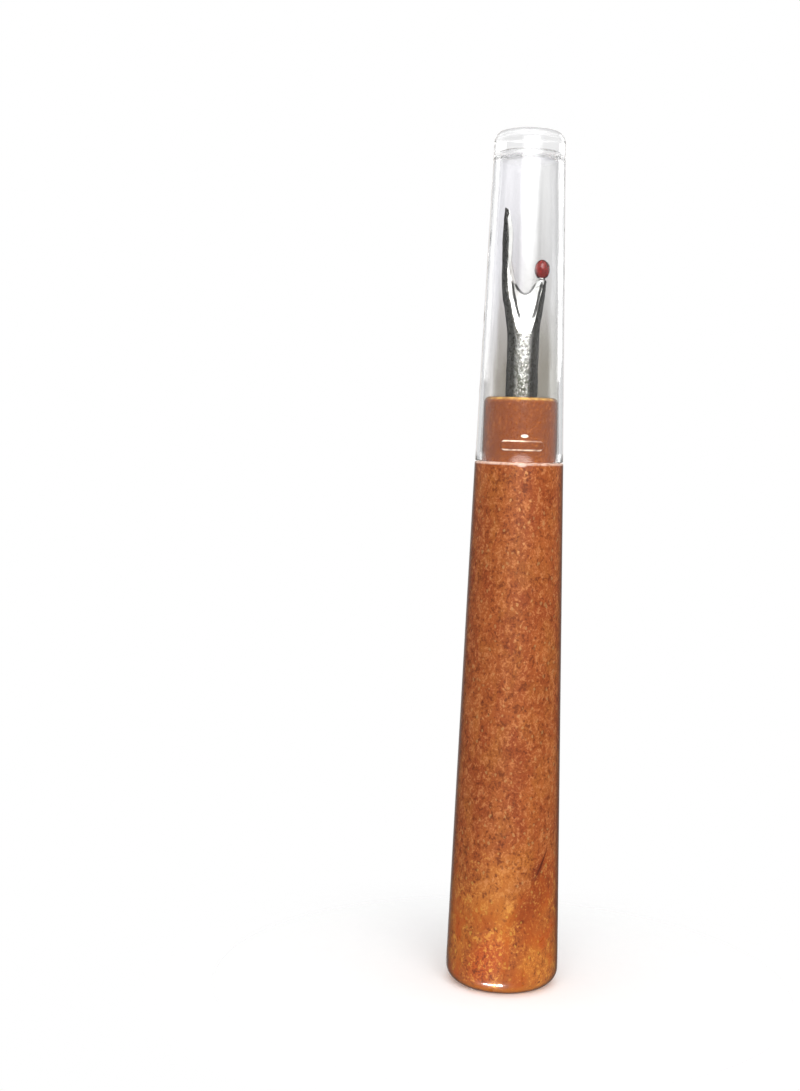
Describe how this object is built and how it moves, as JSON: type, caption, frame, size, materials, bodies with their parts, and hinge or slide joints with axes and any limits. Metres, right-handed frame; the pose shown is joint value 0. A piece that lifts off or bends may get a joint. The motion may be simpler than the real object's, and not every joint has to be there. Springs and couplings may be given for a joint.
{
  "type": "seam ripper",
  "caption": "Hand tool for cutting stitches: tapered round handle, steel fork with a sharp throat between a pointed tine and a ball-tipped tine, and a clear push-on cap.",
  "frame": {"origin": "centre of the flat butt face of the handle, at the bottom of the object's box", "axes": "+Z along the tool's axis from the butt towards the cap, +X towards the ball-tipped tine, +Y out of the back face of the fork"},
  "size_m": [0.0174, 0.0174, 0.13],
  "materials": {
    "handle_plastic": "glossy pearlescent moulded plastic, copper orange with fine mica glitter and flow marks",
    "blade_steel": "bright polished steel with faint grinding marks",
    "ball_plastic": "glossy deep red bead",
    "cap_clear": "clear moulded polystyrene, polished"
  },
  "bodies": {
    "handle": {"handle": "handle_plastic", "fork_blade": "blade_steel", "safety_ball": "ball_plastic"},
    "cap": {"clear_cap": "cap_clear"}
  },
  "joints": [
    {"name": "cap_slide", "type": "slide", "parent": "handle", "child": "cap", "axis": [0, 0, 1], "range_m": [0, 0.045]}
  ]
}
